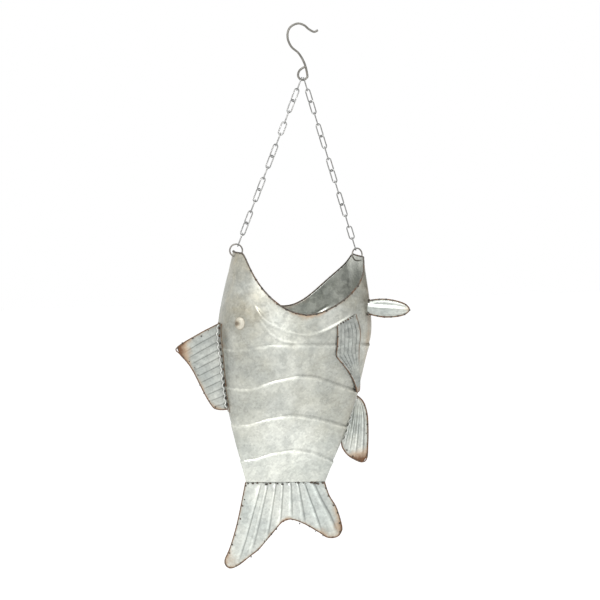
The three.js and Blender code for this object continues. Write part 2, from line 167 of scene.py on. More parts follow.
def relief(points):
    """How far the pressed lines move the sheet outwards, in mm."""
    x, y, z = points[..., 0], points[..., 1], points[..., 2]
    out = np.zeros_like(x)
    for line, strength in zip(RIDGES, STRENGTH):
        d = above_line(line, x, z)
        step = -RIDGE_SINK * np.exp(-np.maximum(d - 0.4, 0) / 3.4) * smoothstep(-1.6, 0.8, d)
        step += RIDGE_RISE * np.exp(-np.maximum(-d - 1.6, 0) / 5.0) * (1 - smoothstep(-1.6, 0.8, d))
        out += step * strength * (0.5 + 0.5 * smoothstep(-80, -30, x))
    for line, width, strength in ((GILL, 1.9, 1.6), (GILL_LOWER, 2.4, 1.1)):
        d = above_line(line, x, z)
        crest = np.exp(-(d / width) ** 2) - 0.25 * np.exp(-((d + 6) / 4) ** 2)
        out += strength * along_line(line, x) * crest
    # a crease across the forehead
    t = np.abs(y) - 12 - (-18 - z) * 0.95
    crease = np.exp(-(t / 2.2) ** 2) * smoothstep(-46, -40, z) * (1 - smoothstep(-20, -14, z)) * (x < -60)
    return out - CREASE_SINK * crease


def painted_line_light(points):
    """Painted light: how much paler the crests and darker the hollows are along the same lines."""
    x, z = points[..., 0], points[..., 2]
    out = np.zeros_like(x)
    for line, strength in zip(RIDGES, STRENGTH):
        d = above_line(line, x, z)
        # painted highlight just below each ridge line, painted shade just above it on the right half
        right = smoothstep(-30, 10, x)
        bright = 0.34 * np.exp(-((d + 1.6) / 1.6) ** 2)
        out += strength * (bright - 0.26 * right * np.exp(-((d - 1.4) / 1.3) ** 2))
    # painted highlight on the gill lines and painted shade just below them
    for line, bright, dull in ((GILL, 0.26, 0.16), (GILL_LOWER, 0.24, 0.12)):
        d = above_line(line, x, z)
        paint = bright * np.exp(-(d / 1.5) ** 2) - dull * np.exp(-((d + 3.4) / 1.8) ** 2)
        out += along_line(line, x) * paint
    return out


# ------------------------------------------------------------------ mesh helpers
def add_piece(name, verts, faces, material, body, replaces=(), rust=None, tone=None, pale=None,
              world=False):
    """A smooth mesh piece from points in mm, in the fish's frame unless world is set.

    rust, tone and pale are how rusty, how tan and how light it is, with one value for each point.
    """
    verts = np.asarray(verts, float)
    verts = verts * 0.001 if world else to_world(verts)
    mesh = bpy.data.meshes.new(name)
    mesh.from_pydata(verts.tolist(), [], [tuple(int(i) for i in f) for f in faces])
    mesh.validate()
    # the pale values are painted light and shade
    for label, values in (("rust", rust), ("tone", tone), ("pale", pale)):
        attribute = mesh.attributes.new(label, "FLOAT", "POINT")
        values = np.zeros(len(verts)) if values is None else values
        attribute.data.foreach_set("value", values.astype(np.float32))
    mesh.polygons.foreach_set("use_smooth", [True] * len(mesh.polygons))
    mesh.materials.append(material)
    piece = bpy.data.objects.new(name, mesh)
    bpy.context.scene.collection.objects.link(piece)
    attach(piece, body)
    if replaces:
        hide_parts(*replaces)


def grid_faces(rows, columns, wrap=False, start=0, flip=False):
    i, j = np.meshgrid(np.arange(rows - 1), np.arange(columns if wrap else columns - 1), indexing="ij")
    a = i * columns + j
    b = i * columns + (j + 1) % columns
    quads = np.stack([a, b, b + columns, a + columns], -1).reshape(-1, 4) + start
    return quads[:, ::-1] if flip else quads


def plate(outer, inner):
    """Vertices and faces of a sheet between two grids of points of shape (rows, columns, 3)."""
    rows, columns = outer.shape[:2]
    count = rows * columns
    verts = np.concatenate([outer.reshape(-1, 3), inner.reshape(-1, 3)])
    faces = [grid_faces(rows, columns), grid_faces(rows, columns, start=count, flip=True)]
    index = np.arange(count).reshape(rows, columns)
    loop = np.concatenate([index[0, :-1], index[:-1, -1], index[-1, :0:-1], index[:0:-1, 0]])
    after = np.roll(loop, -1)
    faces.append(np.stack([after, loop, loop + count, after + count], -1))
    return verts, np.concatenate(faces)


def normals(grid):
    across = np.gradient(grid, axis=1)
    along = np.gradient(grid, axis=0)
    n = np.cross(across, along)
    return n / np.maximum(np.linalg.norm(n, axis=-1, keepdims=True), 1e-9)


def resample(points, count, closed=False):
    """Points at even spacing on a Catmull-Rom curve through the given points."""
    p = np.array(points, float)
    n = len(p)
    fine = []
    for i in range(n if closed else n - 1):
        if closed:
            a, b, c, d = p[(i - 1) % n], p[i], p[(i + 1) % n], p[(i + 2) % n]
        else:
            b, c = p[i], p[i + 1]
            a = p[i - 1] if i else 2 * b - c
            d = p[i + 2] if i + 2 < n else 2 * c - b
        t = np.linspace(0, 1, 24, endpoint=False)[:, None]
        fine.append(0.5 * (2 * b + (c - a) * t + (2 * a - 5 * b + 4 * c - d) * t ** 2
                           + (3 * b - a - 3 * c + d) * t ** 3))
    fine.append(p[:1] if closed else p[-1:])
    fine = np.concatenate(fine)
    run = np.concatenate([[0], np.cumsum(np.linalg.norm(np.diff(fine, axis=0), axis=1))])
    want = np.linspace(0, run[-1], count, endpoint=not closed)
    return np.stack([np.interp(want, run, fine[:, k]) for k in range(fine.shape[1])], -1)


def tube(points, radius, sides=10, closed=False, first=(0, 1, 0)):
    """Vertices and faces of round wire along points; radius may vary from point to point."""
    p = np.asarray(points, float)
    n = len(p)
    ahead = np.roll(p, -1, 0) - np.roll(p, 1, 0)
    if not closed:
        ahead[0], ahead[-1] = p[1] - p[0], p[-1] - p[-2]
    ahead /= np.linalg.norm(ahead, axis=1, keepdims=True)
    radius = np.broadcast_to(radius, (n,))
    side = np.array(first, float)
    rings = []
    for i in range(n):
        side = side - ahead[i] * side.dot(ahead[i])
        side /= np.linalg.norm(side)
        other = np.cross(ahead[i], side)
        angle = np.linspace(0, 2 * math.pi, sides, endpoint=False)[:, None]
        rings.append(p[i] + radius[i] * (np.cos(angle) * side + np.sin(angle) * other))
    verts = np.concatenate(rings)
    if closed:
        rings.append(rings[0])
        faces = grid_faces(n + 1, sides, wrap=True) % (n * sides)
        return verts, list(faces)
    faces = list(grid_faces(n, sides, wrap=True))
    faces.append(tuple(range(sides))[::-1])
    faces.append(tuple(range((n - 1) * sides, n * sides)))
    return verts, faces


def join(parts):
    verts, faces, start = [], [], 0
    for v, f in parts:
        verts.append(v)
        faces += [tuple(int(i) + start for i in face) for face in f]
        start += len(v)
    return np.concatenate(verts), faces


chance = np.random.default_rng(7)


def bead(at, radius, flat=(1, 1, 1)):
    """A small lumpy bead of solder."""
    turns, levels = 8, 5
    verts = [np.array([0, 0, 1.0])]
    for level in range(1, levels):
        a = math.pi * level / levels
        for k in range(turns):
            b = 2 * math.pi * k / turns
            verts.append(np.array([math.sin(a) * math.cos(b), math.sin(a) * math.sin(b), math.cos(a)]))
    verts.append(np.array([0, 0, -1.0]))
    verts = np.array(verts) * radius * chance.uniform(0.8, 1.2, (len(verts), 1)) * np.array(flat)
    faces = [(0, 1 + k, 1 + (k + 1) % turns) for k in range(turns)]
    for level in range(levels - 2):
        a = 1 + level * turns
        b = a + turns
        faces += [(a + k, b + k, b + (k + 1) % turns, a + (k + 1) % turns) for k in range(turns)]
    last = len(verts) - 1
    a = 1 + (levels - 2) * turns
    faces += [(last, a + (k + 1) % turns, a + k) for k in range(turns)]
    return verts + np.asarray(at, float), faces


# ------------------------------------------------------------------ materials
class Nodes:
    """Small helper for building one material's nodes."""

    def __init__(self, name):
        self.material = bpy.data.materials.new(name)
        self.material.use_nodes = True
        self.tree = self.material.node_tree
        self.shader = self.tree.nodes["Principled BSDF"]
        self.coords = self.add("ShaderNodeTexCoord").outputs["Object"]

    def add(self, kind, inputs=(), **settings):
        node = self.tree.nodes.new(kind)
        for key, value in settings.items():
            setattr(node, key, value)
        for key, value in dict(inputs).items():
            self.put(node.inputs[key], value)
        return node

    def put(self, socket, value):
        if isinstance(value, bpy.types.NodeSocket):
            self.tree.links.new(value, socket)
        else:
            socket.default_value = value

    def noise(self, scale, detail=3.0, roughness=0.55, stretch=(1, 1, 1)):
        moved = self.add("ShaderNodeMapping", {"Vector": self.coords, "Scale": stretch}).outputs[0]
        return self.add("ShaderNodeTexNoise", {"Vector": moved, "Scale": scale, "Detail": detail,
                                               "Roughness": roughness}).outputs["Fac"]

    def ramp(self, value, stops):
        node = self.add("ShaderNodeValToRGB", {"Fac": value})
        elements = node.color_ramp.elements
        while len(elements) < len(stops):
            elements.new(0.5)
        for element, (at, color) in zip(elements, stops):
            element.position = at
            element.color = (*color, 1) if len(color) == 3 else color
        return node.outputs["Color"]

    def fade(self, value, lo, hi, out_lo=0.0, out_hi=1.0):
        return self.add("ShaderNodeMapRange", {"Value": value, "From Min": lo, "From Max": hi,
                                               "To Min": out_lo, "To Max": out_hi}).outputs[0]

    def math(self, operation, a, b=0.0):
        return self.add("ShaderNodeMath", {0: a, 1: b}, operation=operation).outputs[0]

    def mix(self, factor, a, b, blend="MIX"):
        """Colours a and b mixed; the sockets are numbered because their names repeat."""
        node = self.add("ShaderNodeMix", data_type="RGBA", blend_type=blend)
        self.put(node.inputs[0], factor)
        self.put(node.inputs[6], a)
        self.put(node.inputs[7], b)
        return node.outputs[2]

    def mix_value(self, factor, a, b):
        node = self.add("ShaderNodeMix", data_type="FLOAT")
        self.put(node.inputs[0], factor)
        self.put(node.inputs[2], a)
        self.put(node.inputs[3], b)
        return node.outputs[0]

    def attribute(self, name):
        return self.add("ShaderNodeAttribute", attribute_name=name).outputs["Fac"]

    def bump(self, height, strength, distance, under=None):
        inputs = {"Height": height, "Strength": strength, "Distance": distance}
        if under is not None:
            inputs["Normal"] = under
        return self.add("ShaderNodeBump", inputs).outputs[0]

    def surface(self, **sockets):
        for key, value in sockets.items():
            self.put(self.shader.inputs[key.replace("_", " ")], value)
        return self.material


COOL = (0.40, 0.435, 0.43, 1)
WARM = (0.44, 0.42, 0.345, 1)
PALE = (0.56, 0.58, 0.555, 1)
SHADOW = (0.29, 0.315, 0.315, 1)
RUST = (0.13, 0.062, 0.028, 1)
TAN = (0.36, 0.24, 0.145, 1)
SHEET_TINT = (0.985, 0.968, 0.928, 1)


def galvanised(name, light=0.0, metal=0.75):
    """Dull hot-dipped sheet: soft spangle, cloudy zinc, and tan stains and rust by the piece's values; light
    and pale are painted light and shade.
    """
    n = Nodes(name)
    cells = n.add("ShaderNodeTexVoronoi", {"Vector": n.coords, "Scale": 150.0, "Randomness": 1.0})
    spangle = n.add("ShaderNodeSeparateColor", {"Color": cells.outputs["Color"]}).outputs[0]
    small = n.add("ShaderNodeTexVoronoi", {"Vector": n.coords, "Scale": 420.0})
    speck = n.add("ShaderNodeSeparateColor", {"Color": small.outputs["Color"]}).outputs[0]
    cloud = n.noise(16.0, 5.0, 0.6)
    patch = n.noise(38.0, 4.0, 0.65)
    streak = n.noise(60.0, 3.0, 0.6, stretch=(1, 1, 0.25))
    color = n.mix(n.attribute("tone"), COOL, WARM)
    color = n.mix(n.fade(cloud, 0.42, 0.68), color, PALE)
    color = n.mix(n.fade(patch, 0.40, 0.66, 0.0, 0.45), color, SHADOW)
    shade = n.math("ADD", n.math("MULTIPLY", spangle, 0.18), n.math("MULTIPLY", speck, 0.22))
    shade = n.math("ADD", shade, n.math("MULTIPLY", streak, 0.20))
    shade = n.math("ADD", shade, 0.76 + light)
    # painted light and shade: the pale attribute scales the sheet's brightness
    shade = n.math("MULTIPLY", shade, n.math("ADD", n.attribute("pale"), 1.0))
    color = n.mix(1.0, color, n.add("ShaderNodeCombineColor", {0: shade, 1: shade, 2: shade}).outputs[0],
                  "MULTIPLY")
    color = n.mix(1.0, color, SHEET_TINT, "MULTIPLY")
    rust = n.attribute("rust")
    worn = n.math("ADD", rust, n.math("MULTIPLY", n.math("SUBTRACT", n.noise(90.0, 6.0, 0.7), 0.5), 0.9))
    color = n.mix(n.fade(worn, 0.22, 0.62, 0.0, 0.75), color, TAN)
    heavy = n.fade(worn, 0.62, 0.95)
    color = n.mix(heavy, color, RUST)
    rough = n.math("ADD", n.math("MULTIPLY", spangle, 0.12), n.math("MULTIPLY", cloud, 0.20))
    rough = n.mix_value(n.fade(worn, 0.3, 0.8), n.math("ADD", rough, 0.24), 0.8)
    shine = n.mix_value(n.fade(worn, 0.3, 0.8), metal, 0.1)
    dents = n.bump(n.noise(26.0, 3.0), 0.55, 0.0016)
    grain = n.math("ADD", n.noise(650.0, 2.0), n.math("MULTIPLY", spangle, 0.5))
    normal = n.bump(grain, 0.35, 0.00016, dents)
    return n.surface(Base_Color=color, Roughness=rough, Metallic=shine, Normal=normal)


def wire_material(name, dark, light, rust_share, metal=0.8, rough=0.42):
    """Steel wire between two shades, with patches of rust."""
    n = Nodes(name)
    grain = n.noise(260.0, 4.0, 0.7)
    color = n.mix(n.fade(grain, 0.35, 0.65), dark, light)
    patches = n.math("ADD", n.noise(75.0, 5.0, 0.7), n.math("MULTIPLY", n.attribute("rust"), 0.4))
    rust = n.fade(patches, 0.62 - rust_share * 0.35, 0.78 - rust_share * 0.35)
    color = n.mix(rust, color, RUST)
    return n.surface(Base_Color=color, Roughness=n.mix_value(rust, rough, 0.8),
                     Metallic=n.mix_value(rust, metal, 0.15),
                     Normal=n.bump(n.noise(900.0, 3.0), 0.3, 0.0001))


def eye_material():
    """A cream wash with a painted brown shadow towards the back of the head."""
    n = Nodes("eye_wash_and_shadow")
    side = n.attribute("tone")
    stain_and_shadow = n.math("ADD", side, n.math("MULTIPLY", n.math("SUBTRACT", n.noise(320.0, 4.0), 0.5), 0.35))
    color = n.ramp(stain_and_shadow, [(0.05, (0.58, 0.56, 0.48)), (0.45, (0.33, 0.29, 0.22)),
                           (0.85, (0.13, 0.105, 0.075))])
    return n.surface(Base_Color=color, Roughness=0.55, Metallic=0.25,
                     Normal=n.bump(n.noise(500.0, 3.0), 0.3, 0.0002))


SKIN = galvanised("body_zinc")
# painted light and shade: the fin copy of the sheet is painted a little lighter, the pectoral copy much
# darker
FIN_SKIN = galvanised("fin_zinc", light=0.06, metal=0.7)
SHIELD_SKIN = galvanised("pectoral_zinc", light=-0.36, metal=0.75)
RIM = wire_material("rim_wire_steel", (0.055, 0.047, 0.038, 1), (0.13, 0.11, 0.09, 1), 0.3,
                    metal=0.5, rough=0.5)
EDGE = wire_material("edge_wire_steel", (0.09, 0.068, 0.05, 1), (0.22, 0.16, 0.11, 1), 0.6,
                     metal=0.5, rough=0.6)
SOLDER = wire_material("solder_dark", (0.03, 0.027, 0.024, 1), (0.10, 0.085, 0.07, 1), 0.3,
                       metal=0.4, rough=0.55)
TAB = wire_material("bright_solder", (0.50, 0.51, 0.49, 1), (0.80, 0.81, 0.78, 1), 0.0,
                    metal=0.4, rough=0.4)
SEAM_WIRE = wire_material("seam_steel", (0.11, 0.085, 0.06, 1), (0.26, 0.20, 0.14, 1), 0.5,
                          metal=0.4, rough=0.6)
HOOK = wire_material("hook_steel", (0.15, 0.145, 0.13, 1), (0.24, 0.23, 0.21, 1), 0.05,
                     metal=0.85, rough=0.4)
RING = wire_material("ring_steel", (0.16, 0.15, 0.135, 1), (0.28, 0.265, 0.24, 1), 0.12, metal=0.85)
CHAIN = wire_material("chain_zinc", (0.22, 0.22, 0.215, 1), (0.36, 0.36, 0.35, 1), 0.0,
                      metal=0.95, rough=0.3)
EYE = eye_material()

# ------------------------------------------------------------------ body
def side_sheet(name, start, end, node):
    """One side of the body from one edge round to the other, with its stains and painted light."""
    rows, columns = 300, 150
    u = np.linspace(start, end, columns)[None, :]
    v = np.linspace(0, 1, rows)[:, None]
    top = rim_height(u)
    height = BODY_BOTTOM + (top - BODY_BOTTOM) * v
    outer = body_point(u + 0 * v, height)
    n = normals(outer)
    if (n[..., 1] * outer[..., 1]).sum() < 0:
        n = -n
    push = relief(outer)
    ends = smoothstep(0, 0.03, v) * (1 - smoothstep(0.985, 1.0, v))
    skin = outer + n * (push * ends)[..., None]
    inside = outer + n * (0.5 * push * ends - SHEET)[..., None]
    # the inside keeps to its own side of the middle plane, except where the outside is almost on it
    y = inside[..., 1]
    limit = 0.25 * np.sign(outer[..., 1])
    held = np.where(limit > 0, np.maximum(y, limit), np.minimum(y, limit))
    inside[..., 1] = np.where(np.abs(outer[..., 1]) > 0.6, held, y)
    x, z = outer[..., 0], outer[..., 2]
    tone = 0.45 + 0.45 * smoothstep(-80, -10, z) + 0.4 * smoothstep(-20, -80, x) * smoothstep(-150, -60, z)
    tone += 0.5 * smoothstep(60, 90, x) - 0.2 * smoothstep(-190, -280, z)
    # painted light: paler down the body, beside the gill and at the belly edge, darker to both sides
    pale = 0.31 * smoothstep(-150, -285, z) - 0.16 * smoothstep(15, 75, x) - 0.12
    pale += 0.06 * smoothstep(-75, -10, z)
    pale += 0.34 * np.exp(-((x + 25) / 30) ** 2 - ((z + 86) / 24) ** 2) - 0.07 * smoothstep(-30, -80, x)
    pale += painted_line_light(outer) + 0.14 * smoothstep(76, 90, x)
    edge = top - height
    rust = 0.34 * np.exp(-edge / 3.0) + 0.42 * np.exp(-edge / 7.0) * np.exp(-((x - 5) / 26) ** 2)
    rust += 0.30 * smoothstep(72, 92, x) * smoothstep(-190, -120, z)
    rust += 0.22 * np.exp(-(z - BODY_BOTTOM) / 4.0)
    rust += 0.30 * np.exp(-((x + 96) / 5) ** 2) * smoothstep(-210, -190, z) * (1 - smoothstep(-95, -80, z))
    if np.dot(n[rows // 2, columns // 2], np.cross(skin[1, 1] - skin[1, 0], skin[2, 0] - skin[1, 0])) < 0:
        skin, inside = skin[:, ::-1], inside[:, ::-1]
        rust, tone, pale = rust[:, ::-1], tone[:, ::-1], pale[:, ::-1]
    verts, faces = plate(skin, inside)
    both = lambda a: np.concatenate([np.clip(a, 0, 1).ravel()] * 2)
    rust_both = both(rust)
    half = len(rust_both) // 2
    rust_both[half:] = np.clip(0.5 * np.exp(-edge / 12.0) * np.exp(-((x - 5) / 45) ** 2), 0, 1).ravel()
    tone_both = both(tone)
    tone_both[half:] *= 0.3
    # painted light: the inside is painted evenly a little lighter
    pale_both = np.concatenate([pale.ravel(), np.full(half, 0.12)])
    add_piece(name, verts, faces, SKIN, "fish", (node,), rust_both, tone_both, pale_both)


side_sheet("skin_near", -SEAM, math.pi + SEAM, "body_near")
side_sheet("skin_far", math.pi + SEAM + SEAM_GAP, 2 * math.pi - SEAM - SEAM_GAP, "body_far")

# ------------------------------------------------------------------ rim wire
beads = []
RIM_WIRE, RIM_STEPS = 0.95, 300
turn = np.linspace(0, 2 * math.pi, 241)[:-1]
edge_line = body_point(turn, rim_height(turn), SHEET / 2)
ahead = np.roll(edge_line, -1, 0) - np.roll(edge_line, 1, 0)
outward = body_point(turn, rim_height(turn)) - body_point(turn, rim_height(turn), SHEET)
up = np.cross(outward, ahead)
up *= np.sign(up[:, 2:3]) / np.linalg.norm(up, axis=1, keepdims=True)
rim_line = resample(edge_line + up * RIM_WIRE, RIM_STEPS, closed=True)
verts, faces = tube(rim_line, RIM_WIRE + 0.07 * np.sin(np.arange(RIM_STEPS) * 1.7), 10, closed=True)
add_piece("rim_wire", verts, faces, RIM, "fish", ("mouth_rim_wire",))
for i in range(0, RIM_STEPS, 7):
    p = rim_line[i]
    if p[1] < 0 and abs(p[0]) < 72:
        beads.append(bead(p + np.array([0, -0.5, -0.5]), chance.uniform(1.15, 1.6), (1.2, 1, 0.9)))
    elif abs(p[0]) < 60:
        beads.append(bead(p + np.array([0, 0.5, -1.1]), chance.uniform(1.0, 1.3), (1.2, 1, 0.9)))

# ------------------------------------------------------------------ flat ribbed fins
def fin(name, node, base, edge, ribs, depth, rust_at, sides, crest=0.24, columns=320, rows=60, fade=0.12,
        pale=0.0, follow=6, stripe=(0.1, -0.3, 0.14)):
    """A ribbed plate between a base line, an outer line and two side lines, as (x, z) in the middle plane.

    ribs gives each crest's place along the base and the outer line, from 0 to 1. stripe is painted
    light: how bright the crest is, how dark the line beside it is, and how far beside it lies.
    """
    lo, hi = resample(base, columns), resample(edge, columns)
    ribs = np.array(ribs, float)
    share = np.linspace(0, 1, columns)
    even = np.linspace(0, 1, len(ribs))
    u_base, u_edge = np.interp(share, even, ribs[:, 0]), np.interp(share, even, ribs[:, 1])
    a = np.stack([np.interp(u_base, share, lo[:, k]) for k in (0, 1)], -1)
    b = np.stack([np.interp(u_edge, share, hi[:, k]) for k in (0, 1)], -1)
    v = np.linspace(0, 1, rows)[:, None, None]
    left, right = [resample(line, rows)[:, None, :] for line in sides]
    left = left - (1 - v) * a[0] - v * b[0]
    right = right - (1 - v) * a[-1] - v * b[-1]
    u = (u_base * (1 - v[..., 0]) + u_edge * v[..., 0])[..., None]
    flat = a[None] * (1 - v) + b[None] * v + left * (1 - u) ** follow + right * u ** follow
    cells = len(ribs) - 1
    beside = np.mod(share * cells + 0.5, 1) - 0.5
    wave = np.maximum(1 - np.abs(beside) / crest, 0)
    wave = depth * (wave - 0.18 * wave ** 4)
    ends = smoothstep(0, 0.8 / cells, share) * (1 - smoothstep(1 - 0.8 / cells, 1, share))
    outward = v[..., 0]
    lift = -(wave * ends)[None, :] * smoothstep(0, fade, outward)
    lift = lift * (0.3 + 0.7 * (1 - smoothstep(0.75, 1, outward)))
    front = np.stack([flat[..., 0], lift + depth * 0.3 - SHEET / 2, flat[..., 1]], -1)
    rear = front + np.array([0, 0.6, 0])
    flipped = np.cross(front[rows // 2, 1] - front[rows // 2, 0],
                       front[rows // 2 + 1, 0] - front[rows // 2, 0])[1] > 0
    if flipped:
        front, rear = front[:, ::-1], rear[:, ::-1]
    rim_points = np.concatenate([front[-1], front[:, 0], front[:, -1]])
    gap = np.stack([np.linalg.norm(rim_points[None] - row[:, None], axis=-1).min(1) for row in front])
    rust = 0.40 * np.exp(-gap / 2.0) + 0.14 * np.exp(-gap / 8.0)
    for x, z, size, amount in rust_at:
        rust += amount * np.exp(-((front[..., 0] - x) ** 2 + (front[..., 2] - z) ** 2) / size ** 2)
    verts, faces = plate(front, rear)
    bright, dark, aside = stripe
    paint = bright * np.exp(-((beside + 0.04) / 0.10) ** 2) + dark * np.exp(-((beside - aside) / 0.07) ** 2)
    paint = (paint * ends)[None, :] * smoothstep(0, 0.06, outward) * (1 - smoothstep(0.8, 1, outward))
    if flipped:
        paint = paint[:, ::-1]
    rust = np.clip(np.concatenate([rust.ravel()] * 2), 0, 1)
    add_piece(name, verts, faces, FIN_SKIN, "fish", (node,), rust, rust * 0.8,
              np.concatenate([(pale + paint).ravel()] * 2))


def fin_edge(name, node, points, count, radius, spots):
    """The wire on a fin's edge, with its spot welds."""
    line = resample([(x, 0.0, z) for x, z in points], count)
    verts, faces = tube(line, radius + 0.08 * np.sin(np.arange(count) * 2.3), 8)
    add_piece(name, verts, faces, EDGE, "fish", (node,))
    run = np.concatenate([[0], np.cumsum(np.linalg.norm(np.diff(line, axis=0), axis=1))])
    middle = line.mean(0)
    for at in np.arange(spots * 0.5, run[-1], spots):
        p = np.array([np.interp(at + chance.uniform(-3, 3), run, line[:, k]) for k in range(3)])
        inward = (middle - p) / np.linalg.norm(middle - p)
        beads.append(bead(p + inward * chance.uniform(1.2, 2.6) + np.array([0, -0.5, 0]),
                          chance.uniform(0.7, 1.15), (1, 1.2, 1)))


TAIL_TOP = [(-54.5, -294), (53, -294.3)]
TAIL_LEFT = [(-54.5, -294), (-62.8, -346), (-70.8, -379), (-77.2, -396)]
TAIL_LOW = [(-77.2, -396), (-75.6, -404), (-69, -407.6), (-58.4, -403.6), (-45.4, -393.4), (-33.2, -384),
            (-23.8, -372.8), (-14.8, -362), (-4, -348.8), (3.7, -344.8), (12, -344.3), (28.3, -350.2),
            (49.5, -362), (61.5, -369.2), (73.7, -368.8), (79.6, -363), (80.4, -354)]
TAIL_RIGHT = [(80.4, -354), (71.5, -329.5), (60.4, -312.5), (53, -294.3)]
# each fold's place on the top edge, then its end on the low edge
FOLD_ENDS = [(-34.3, -64, -406), (-25.3, -46.6, -395), (-14.2, -24, -374), (-5.1, -8, -350), (5.4, 7.8, -343),
             (15.8, 25, -349), (23.6, 50, -364), (34.8, 74, -367)]
low_line = resample(TAIL_LOW, 400)
top_left, top_right = TAIL_TOP[0][0], TAIL_TOP[-1][0]
tail_folds = [(0, 0)]
for base_x, end_x, end_z in FOLD_ENDS:
    nearest = np.hypot(low_line[:, 0] - end_x, low_line[:, 1] - end_z).argmin() / (len(low_line) - 1)
    tail_folds.append(((base_x - top_left) / (top_right - top_left), nearest))
tail_folds.append((1, 1))
# painted light: the whole tail is painted lighter, and stripe paints a highlight and shade along each fold
fin("tail_ribbed", "tail_fin", TAIL_TOP, TAIL_LOW, tail_folds, 2.4,
    [(-70, -396, 15, 0.30), (78, -355, 12, 0.5), (74, -335, 10, 0.3), (3, -345, 7, 0.32),
     (56, -364, 9, 0.35)],
    (TAIL_LEFT, TAIL_RIGHT[::-1]), crest=0.28, pale=0.13, stripe=(0.22, -0.42, 0.19))
fin_edge("tail_wire", "tail_fin_wire", TAIL_LEFT + TAIL_LOW[1:] + TAIL_RIGHT[1:], 220, radius=0.75, spots=13)

DORSAL_BASE = [(-98.6, -88), (-98.9, -100), (-96.5, -118), (-92.5, -140), (-88.5, -165), (-82.6, -196)]
DORSAL_OUT = [(-153.8, -118.8), (-149.5, -127), (-139, -138), (-131, -149), (-122, -165), (-115, -177.5),
              (-108.4, -188), (-102, -196), (-96.3, -198.2)]
DORSAL_TOP = [(-98.8, -86), (-127, -101.3), (-153.8, -118.8)]
DORSAL_LOW = [(-96.3, -198.2), (-90, -198.6), (-84, -198)]
# painted shade: the whole dorsal fin is painted darker, and stripe paints shade beside each rib
fin("dorsal_ribbed", "dorsal_fin", DORSAL_BASE, DORSAL_OUT,
    [(i / 11, i / 11) for i in range(12)], 0.55,
    [(-150, -121, 13, 0.75), (-141, -137, 8, 0.3), (-101, -194, 9, 0.25), (-120, -168, 8, 0.2)],
    (DORSAL_TOP, [(-82.6, -196), *DORSAL_LOW[::-1]]), crest=0.4, pale=-0.16, stripe=(0.07, -0.38, 0.16))
fin_edge("dorsal_wire", "dorsal_fin_wire", DORSAL_TOP + DORSAL_OUT[1:] + DORSAL_LOW[1:], 120,
         radius=0.75, spots=12)

ANAL_BASE = [(86.8, -178.5), (84, -190), (80.8, -205), (77, -222), (72.8, -239)]
ANAL_OUT = [(94, -180.5), (102.2, -189), (107.8, -205), (110, -225), (110.8, -245),
            (110.4, -263), (103.8, -268), (90.5, -263), (81.5, -256.4), (75.5, -248)]
ANAL_RIGHT = [(93, -180.5), (102.2, -189), (107.8, -205), (110, -225), (110.8, -245), (110.4, -262)]
ANAL_LOW = [(72.8, -239), (75.5, -248), (81.5, -256.4), (90.5, -263), (103.8, -268), (110.4, -262)]
fin("anal_ribbed", "anal_fin", [(86.8, -178.5), (93, -180.5)], ANAL_LOW,
    [(0, 0), (0.2, 0.22), (0.4, 0.42), (0.6, 0.6), (0.8, 0.79), (1, 1)], 2.6,
    [(106, -264, 14, 0.75), (93, -261, 8, 0.35)], (ANAL_BASE, ANAL_RIGHT), crest=0.4, fade=0.3,
    follow=1.6, stripe=(0.25, -0.45, 0.2))
fin_edge("anal_wire", "anal_fin_wire", [(87.2, -178), *ANAL_OUT, (73.6, -241)], 110, radius=0.85, spots=14)


def tabs(name, base, teeth, out, lift):
    """Small folded teeth that hold a fin to the body's edge, on both of its sides."""
    line = resample(base, teeth * 2 + 1)
    parts = []
    for side in (-1, 1):
        zig = []
        for k, (x, z) in enumerate(line):
            reach = out * (4.6 if k % 2 else 2.4)
            zig.append((x + reach, side * (lift + 0.5 * (k % 2)), z))
        path = resample(zig, teeth * 8 + 1)
        parts.append(tube(path, 0.75 + 0.15 * np.sin(np.arange(len(path)) * 1.3), 6))
    verts, faces = join(parts)
    add_piece(name, verts, faces, TAB, "fish")


tabs("dorsal_tabs", DORSAL_BASE, 13, -1, 2.0)
tabs("anal_tabs", ANAL_BASE, 7, 1, 2.0)

# ------------------------------------------------------------------ leaf-shaped fin
LEAF_LENGTH, LEAF_TURN = 53.5, math.radians(22)
LEAF_STANDOFF, LEAF_BACK = 2.4, 1.4
leaf_root = body_point(math.radians(44), -57.0)


def leaf_half(along):
    """Half the leaf's width, that far from its root."""
    t = np.clip(along / LEAF_LENGTH, 0, 1)
    return (8 + 3.5 * np.sin(np.minimum(t * 2, 1) * math.pi / 2)) * np.sqrt(1 - t ** 3.2)


def on_leaf(along, across, lift):
    c, s = math.cos(LEAF_TURN), math.sin(LEAF_TURN)
    x = leaf_root[0] + (along + LEAF_STANDOFF) * c - lift * s
    y = leaf_root[1] - (along + LEAF_STANDOFF) * s - lift * c
    return np.stack([x, y, leaf_root[2] + across + 0 * along], -1)


